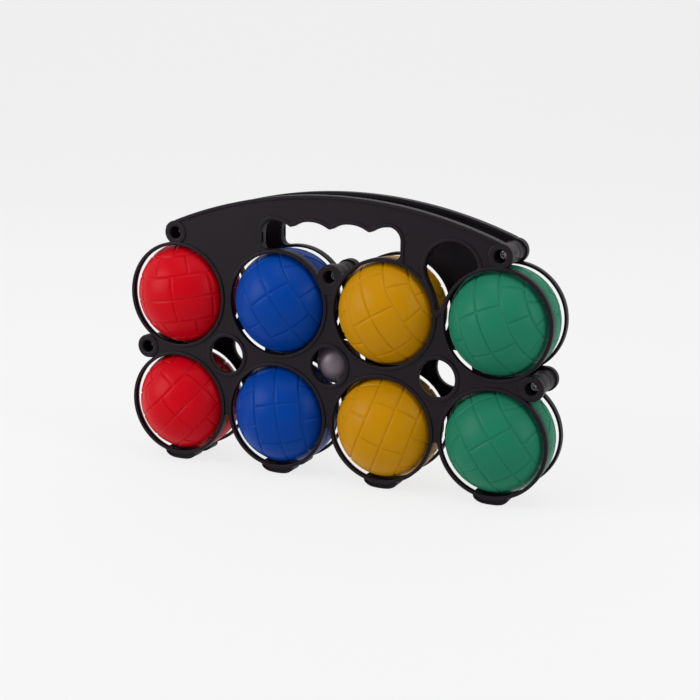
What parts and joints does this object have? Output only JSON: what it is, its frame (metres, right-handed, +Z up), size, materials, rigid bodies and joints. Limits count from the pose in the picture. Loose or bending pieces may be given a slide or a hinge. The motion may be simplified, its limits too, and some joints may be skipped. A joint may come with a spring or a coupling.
{
  "type": "bocce ball set",
  "caption": "Carry rack with an arched finger-grip handle, whose two moulded plates hold coloured grooved balls and a small jack in ring seats.",
  "frame": {"origin": "centre of the footprint on the surface that the eight feet stand on, midway between the two plates", "axes": "+X along the rows of balls, -Y towards the front plate, +Z up to the handle"},
  "size_m": [0.305, 0.072, 0.193],
  "materials": {
    "carrier_plastic": "satin moulded polypropylene, fine texture",
    "red_ball_plastic": "satin blow-moulded plastic",
    "blue_ball_plastic": "satin blow-moulded plastic",
    "ochre_ball_plastic": "satin blow-moulded plastic",
    "green_ball_plastic": "satin blow-moulded plastic",
    "jack_plastic": "smooth grey plastic",
    "ball_water": "clear water filling, hidden inside the shell",
    "screw_steel": "zinc-plated steel"
  },
  "bodies": {
    "carrier": {"front_plate": "carrier_plastic", "rear_plate": "carrier_plastic", "front_posts": "carrier_plastic", "rear_posts": "carrier_plastic", "front_jack_rim": "carrier_plastic", "rear_jack_rim": "carrier_plastic", "post_screws": "screw_steel", "front_ring_upper_red": "carrier_plastic", "front_ring_upper_blue": "carrier_plastic", "front_ring_upper_ochre": "carrier_plastic", "front_ring_upper_green": "carrier_plastic", "front_ring_lower_red": "carrier_plastic", "front_ring_lower_blue": "carrier_plastic", "front_ring_lower_ochre": "carrier_plastic", "front_ring_lower_green": "carrier_plastic", "rear_ring_upper_red": "carrier_plastic", "rear_ring_upper_blue": "carrier_plastic", "rear_ring_upper_ochre": "carrier_plastic", "rear_ring_upper_green": "carrier_plastic", "rear_ring_lower_red": "carrier_plastic", "rear_ring_lower_blue": "carrier_plastic", "rear_ring_lower_ochre": "carrier_plastic", "rear_ring_lower_green": "carrier_plastic"},
    "red_upper_ball": {"red_upper_ball_shell": "red_ball_plastic", "red_upper_ball_fill": "ball_water", "red_upper_ball_plug": "red_ball_plastic"},
    "blue_upper_ball": {"blue_upper_ball_shell": "blue_ball_plastic", "blue_upper_ball_fill": "ball_water", "blue_upper_ball_plug": "blue_ball_plastic"},
    "ochre_upper_ball": {"ochre_upper_ball_shell": "ochre_ball_plastic", "ochre_upper_ball_fill": "ball_water", "ochre_upper_ball_plug": "ochre_ball_plastic"},
    "green_upper_ball": {"green_upper_ball_shell": "green_ball_plastic", "green_upper_ball_fill": "ball_water", "green_upper_ball_plug": "green_ball_plastic"},
    "red_lower_ball": {"red_lower_ball_shell": "red_ball_plastic", "red_lower_ball_fill": "ball_water", "red_lower_ball_plug": "red_ball_plastic"},
    "blue_lower_ball": {"blue_lower_ball_shell": "blue_ball_plastic", "blue_lower_ball_fill": "ball_water", "blue_lower_ball_plug": "blue_ball_plastic"},
    "ochre_lower_ball": {"ochre_lower_ball_shell": "ochre_ball_plastic", "ochre_lower_ball_fill": "ball_water", "ochre_lower_ball_plug": "ochre_ball_plastic"},
    "green_lower_ball": {"green_lower_ball_shell": "green_ball_plastic", "green_lower_ball_fill": "ball_water", "green_lower_ball_plug": "green_ball_plastic"},
    "jack": {"jack": "jack_plastic"}
  },
  "joints": [
    {"name": "red_upper_ball_out", "type": "slide", "parent": "carrier", "child": "red_upper_ball", "axis": [0, -1, 0], "range_m": [0, 0.09], "deforming": ["front_ring_upper_red"]},
    {"name": "blue_upper_ball_out", "type": "slide", "parent": "carrier", "child": "blue_upper_ball", "axis": [0, -1, 0], "range_m": [0, 0.09], "deforming": ["front_ring_upper_blue"]},
    {"name": "ochre_upper_ball_out", "type": "slide", "parent": "carrier", "child": "ochre_upper_ball", "axis": [0, -1, 0], "range_m": [0, 0.09], "deforming": ["front_ring_upper_ochre"]},
    {"name": "green_upper_ball_out", "type": "slide", "parent": "carrier", "child": "green_upper_ball", "axis": [0, -1, 0], "range_m": [0, 0.09], "deforming": ["front_ring_upper_green"]},
    {"name": "red_lower_ball_out", "type": "slide", "parent": "carrier", "child": "red_lower_ball", "axis": [0, -1, 0], "range_m": [0, 0.09], "deforming": ["front_ring_lower_red"]},
    {"name": "blue_lower_ball_out", "type": "slide", "parent": "carrier", "child": "blue_lower_ball", "axis": [0, -1, 0], "range_m": [0, 0.09], "deforming": ["front_ring_lower_blue"]},
    {"name": "ochre_lower_ball_out", "type": "slide", "parent": "carrier", "child": "ochre_lower_ball", "axis": [0, -1, 0], "range_m": [0, 0.09], "deforming": ["front_ring_lower_ochre"]},
    {"name": "green_lower_ball_out", "type": "slide", "parent": "carrier", "child": "green_lower_ball", "axis": [0, -1, 0], "range_m": [0, 0.09], "deforming": ["front_ring_lower_green"]},
    {"name": "jack_out", "type": "slide", "parent": "carrier", "child": "jack", "axis": [0, -1, 0], "range_m": [0, 0.06], "deforming": ["front_jack_rim"]}
  ]
}
